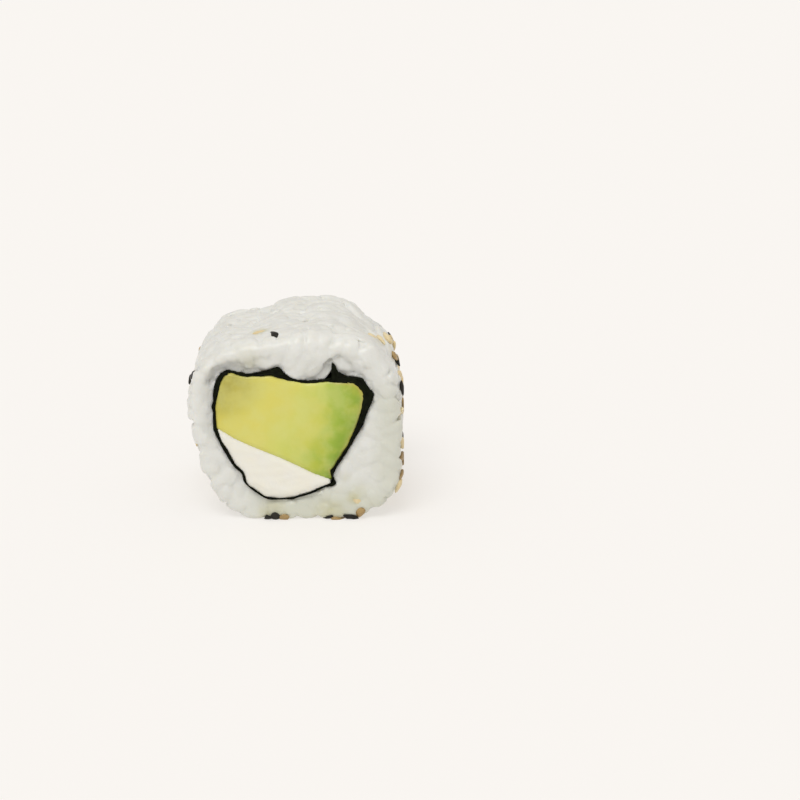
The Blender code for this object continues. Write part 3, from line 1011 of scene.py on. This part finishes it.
def paintRice(mesh):
    points = vectorsOf(mesh)
    # tan tints by the seeds, and painted shade at the foot and in the hollow above the nori
    stain = np.zeros(len(points))
    for x, y, z, reach, strength in rice["tintsAndShade"]:
        length = np.linalg.norm(points / mm - np.array((x, y, z)), axis=1)
        stain = np.maximum(stain, strength * (1.0 - smoothStep(0.25 * reach, reach, length)))
    stain *= 0.75 + 0.5 * noiseAt(points, 1.2 * mm, 14.0)
    x, y, z = points.T / mm
    # painted shade: darker low down by the floor and on the right of the front
    foot = (1.0 - smoothStep(2.5, 9.0, z)) * smoothStep(-12.0, -3.0, x)
    rightSide = 0.75 * smoothStep(12.0, 16.0, x) * (1.0 - smoothStep(20.0, 27.0, z))
    front = smoothStep(10.0, 14.5, -y)
    setAttribute(mesh, "stain", stain)
    setAttribute(mesh, "damp", np.maximum(foot, rightSide) * front)


def makeRice():
    # grains packed over a smaller core, then fused with it into one heap
    points, normals = vectorsOf(guide.data), vectorsOf(guide.data, "normal")
    toNori = distances(points, cadNoriTree, 5 * mm)
    atHole = (toNori < rice["holeReach"]) & (np.abs(normals[:, 1]) < 0.8)

    places = spotsOn(guide, np.where(atHole, 0.0, 1.0), Spacing=rice["spacing"], Seed=rice["seed"])
    places, ways, outWays = packed(places, np.random.default_rng(rice["seed"]))
    grainKinds = shapeSet("grain", 11, rice["kinds"], grainMesh)
    grains = putShapes("riceGrains", places, ways, outWays, grainKinds, riceMaterial,
                       Smallest=rice["sizes"][0], Largest=rice["sizes"][1], Seed=rice["seed"])
    dropSet(grainKinds)
    pressedIn(grains.data, rice["over"])
    say(f"{len(places)} grains packed")

    atFace = smoothStep(0.75, 0.95, np.abs(normals[:, 1]))
    inset = np.where(atHole, 0.0, rice["coreInset"] + (rice["faceInset"] - rice["coreInset"]) * atFace)
    core = newObject("riceCore", guide.data.copy())
    corePoints = points - normals * inset[:, None]
    closing = toNori < rice["closeReach"]
    corePoints[closing] = drawnTo(corePoints[closing], -rice["touch"], 2.2 * mm)
    setPoints(core.data, corePoints)
    fused = joined("riceFused", core, grains)
    dropObject(core)
    dropObject(grains)
    remeshed(fused, rice["voxel"], rice["softening"])
    say(f"rice fused, {len(fused.data.polygons)} faces")

    smeared(fused.data)
    withinRoll(fused.data, -rice["touch"])
    step = fused.modifiers.new("lighter", "DECIMATE")
    step.ratio = min(1.0, rice["most"] / (2 * len(fused.data.polygons)))
    bake(fused)
    setAttribute(fused.data, "tone", np.full(len(fused.data.vertices), 0.5))
    paintRice(fused.data)
    finishPiece(fused, riceMaterial, "rice", "rice")
    return fused


fusedTree = treeOf(makeRice())


def skinOver(spot):
    # the way out of the heap at a spot, and where the fused rice's skin is there
    near, out, _, _ = guideTree.find_nearest(Vector(spot))
    hit, normal, _, _ = fusedTree.ray_cast(near + out * 3 * mm, -out, 6 * mm)
    return out, hit, normal


def lyingWay(out, chance):
    along = Vector(chance.normal(size=3))
    return (along - out * along.dot(out)).normalized()


looseGrain = {
    "spacing": 3.4 * mm,
    "share": 0.5,                  # of the places that are taken
    "sizes": (0.85, 1.02),
    "offNori": (2.0 * mm, 4.0 * mm),
    "offEnds": (9.5 * mm, 12.0 * mm),      # none nearer to the cut faces
    "lowest": 1.5 * mm,
    "over": 0.25 * mm,             # how far a grain may stand over the heap's surface
}


def makeLooseGrains():
    # whole grains that stand out of the heap, away from the smoothed cuts and top
    points, normals = vectorsOf(guide.data), vectorsOf(guide.data, "normal")
    smooth = np.maximum(smoothStep(0.3, 0.6, np.abs(normals[:, 1])), smoothStep(0.1, 0.5, normals[:, 2]))
    rough = 1.0 - smooth
    rough *= smoothStep(*looseGrain["offNori"], distances(points, wallTree, 5 * mm))
    rough *= 1.0 - smoothStep(*looseGrain["offEnds"], np.abs(points[:, 1]))
    chance = np.random.default_rng(17)
    spots, longWays, outWays = [], [], []
    for spot in spotsOn(guide, rough * looseGrain["share"], Spacing=looseGrain["spacing"], Seed=12):
        out, hit, _ = skinOver(spot)
        if hit is None or hit.z < looseGrain["lowest"]:
            continue
        along = lyingWay(out, chance)
        spots.append(hit - out * rice["height"] * 0.25)
        longWays.append(along + out * chance.uniform(-0.15, 0.15))
        outWays.append(out)
    kinds = shapeSet("looseGrain", 23, rice["kinds"], grainMesh)
    loose = putShapes("looseGrains", np.array(spots), longWays, outWays, kinds, riceMaterial,
                      Smallest=looseGrain["sizes"][0], Largest=looseGrain["sizes"][1], Seed=9)
    dropSet(kinds)
    pressedIn(loose.data, looseGrain["over"])
    withinRoll(loose.data, 0.0)
    finishPiece(loose, riceMaterial, "rice")
    say(f"{len(spots)} loose grains")


makeLooseGrains()


# sesame

sesame = {
    "length": 3.3 * mm,
    "width": 1.9 * mm,
    "height": 0.95 * mm,
    "sink": 0.22 * mm,
    "lean": 0.25,                  # how unevenly they lie
    "spacing": 1.75 * mm,
    "clusterSize": 6.5 * mm,
    "offNori": 1.0 * mm,
    "kinds": 4,
    "sizes": (0.82, 1.1),
    "toastedShare": 0.16,
    "blackShare": 0.06,
    "laid": (      # the ones that show from the front: kind, X, Y, Z and how deep it has sunk
        ("pale", -6.2, -8.6, 32.2, 0.76), ("black", -3.7, -12.0, 32.7, 0.72),
        ("black", -18.0, -12.8, 25.4, 0.72), ("pale", 13.8, -6.0, 30.6, 0.62),
        ("toasted", 17.3, -0.4, 25.2, 0.3), ("black", 17.6, 1.5, 24.2, 0.4),
        ("toasted", 18.2, -13.6, 7.4, 0.3), ("pale", 18.6, -12.6, 13.2, 0.3),
        ("toasted", 18.4, -12.0, 10.2, 0.3), ("pale", 10.3, -16.2, 3.6, 0.78),
        # from here on they lie on the floor under the front edge: seeds sunk so that only dark slivers
        # show, which also stand in for the shade under the rice's overhang
        ("toasted", 11.2, -16.6, 0.6, 0.4), ("black", 9.6, -17.0, -0.8, 0.3),
        ("black", -5.0, -17.0, -1.0, 0.3), ("toasted", -2.4, -17.0, -1.0, 0.3),
        ("black", -3.6, -17.0, -1.4, 0.35), ("black", 5.6, -17.0, -1.0, 0.35),
        ("toasted", 7.4, -17.0, -1.0, 0.3)),
    "colours": {
        "pale": ((0.80, 0.71, 0.48, 1.0), (0.70, 0.54, 0.27, 1.0)),
        "toasted": ((0.50, 0.34, 0.13, 1.0), (0.29, 0.19, 0.08, 1.0)),
        "black": ((0.010, 0.009, 0.007, 1.0), (0.030, 0.027, 0.022, 1.0)),
    },
}


def makeSeedMaterial(kind):
    first, second = sesame["colours"][kind]
    dark = kind == "black"
    material, tree, shader, place = newMaterial(kind + "SesameSkin", {
        "Subsurface Weight": 0.0 if dark else 0.1, "Subsurface Radius": (1.0, 0.8, 0.5),
        "Subsurface Scale": 0.6 * mm, "Coat Weight": 0.03 if dark else 0.15, "Coat Roughness": 0.3,
        "IOR": 1.45, "Specular IOR Level": 0.2 if dark else 0.5})
    tone = painted(tree, "tone", 300)
    base = mixColour(tree, tone, first, second, -1200, 300)
    blotches = placed(tree, softBlotches, -800, 200, Vector=place, Base=base,
                      Blotch=second, Scale=1300.0, Amount=0.45, Edge=0.15)
    tree.links.new(blotches["Color"], shader.inputs["Base Color"])
    surfaced(tree, shader, place, (1500.0, 0.35, 0.6), (1800.0, 6000.0, 0.4), 0.4, 0.1 * mm)
    return material


def seedMesh(name, chance):
    # a flat drop: round at one end, pointed at the other
    rings, around = 7, 8
    wide, tall = chance.uniform(0.92, 1.08), chance.uniform(0.85, 1.15)
    work = bmesh.new()
    loops = []
    for ring in range(rings):
        angle = math.pi * (ring + 1) / (rings + 1)
        along = -math.cos(angle)
        fat = math.sin(angle) * (1.0 - 0.38 * along) * 0.93
        loops.append([work.verts.new((along * sesame["length"] / 2,
                                      fat * math.cos(math.tau * k / around) * sesame["width"] / 2 * wide,
                                      fat * math.sin(math.tau * k / around) * sesame["height"] / 2 * tall))
                      for k in range(around)])
    closeTube(work, loops, sesame["length"] / 2)
    mesh = bpy.data.meshes.new(name)
    work.to_mesh(mesh)
    work.free()
    return mesh


def layDown(spots, sinks, chance):
    # seeds lie on the rice with a random turn
    places, longWays, outWays = [], [], []
    for spot, sink in zip(spots, sinks):
        out, hit, normal = skinOver(spot)
        inFront = spot[1] <= cadBox[0][1]
        if hit is None or (hit.z < 0.3 * mm and not inFront):      # none under the roll
            continue
        out = (out + normal * 0.6 + Vector(chance.normal(size=3)) * sesame["lean"]).normalized()
        along = lyingWay(out, chance)
        places.append(hit + out * (sesame["height"] / 2 - sink))
        longWays.append(along)
        outWays.append(out)
    return np.array(places), longWays, outWays


def makeSeeds():
    points, normals = vectorsOf(guide.data), vectorsOf(guide.data, "normal")
    side = 1.0 - smoothStep(0.35, 0.7, np.abs(normals[:, 1]))
    side = np.where(distances(points, cadNoriTree, 5 * mm) < sesame["offNori"], 0.0, side)
    clumps = smoothStep(-0.15, 0.45, noiseAt(points, sesame["clusterSize"], 3.0))
    # bare are the front, the top and the left of the front, but for the listed ones
    bare = smoothStep(-0.05, 0.3, 0.3 * normals[:, 2] - 0.95 * normals[:, 1] + 0.1)
    bare = np.maximum(bare, smoothStep(0.2, 0.75, normals[:, 2] - 0.25 * normals[:, 0]))
    bare = np.maximum(bare, (points[:, 1] < -10 * mm) & (points[:, 0] < 3 * mm))
    cover = side * (0.10 + 0.9 * clumps) * (1.0 - bare)
    chance = np.random.default_rng(21)
    spots = spotsOn(guide, cover, Spacing=sesame["spacing"], Seed=7)
    draw = chance.random(len(spots))
    dark = sesame["blackShare"] + sesame["toastedShare"]
    kinds = {"black": draw < sesame["blackShare"],
             "toasted": (draw >= sesame["blackShare"]) & (draw < dark),
             "pale": draw >= dark}
    shapes = shapeSet("seed", 31, sesame["kinds"], seedMesh)
    for kind, chosen in kinds.items():
        byHand = [np.array(laid[1:]) * mm for laid in sesame["laid"] if laid[0] == kind]
        kindSpots = [*spots[chosen], *(laid[:3] for laid in byHand)]
        sinks = [sesame["sink"]] * int(chosen.sum()) + [laid[3] for laid in byHand]
        places, longWays, outWays = layDown(kindSpots, sinks, chance)
        skin = makeSeedMaterial(kind)
        piece = putShapes(kind + "Sesame", places, longWays, outWays, shapes, skin,
                          Smallest=sesame["sizes"][0], Largest=sesame["sizes"][1], Seed=5)
        withinRoll(piece.data, 0.0)
        finishPiece(piece, skin, "rice")
        say(f"{len(places)} {kind} seeds")
    dropSet(shapes)


makeSeeds()
dropObject(guide)
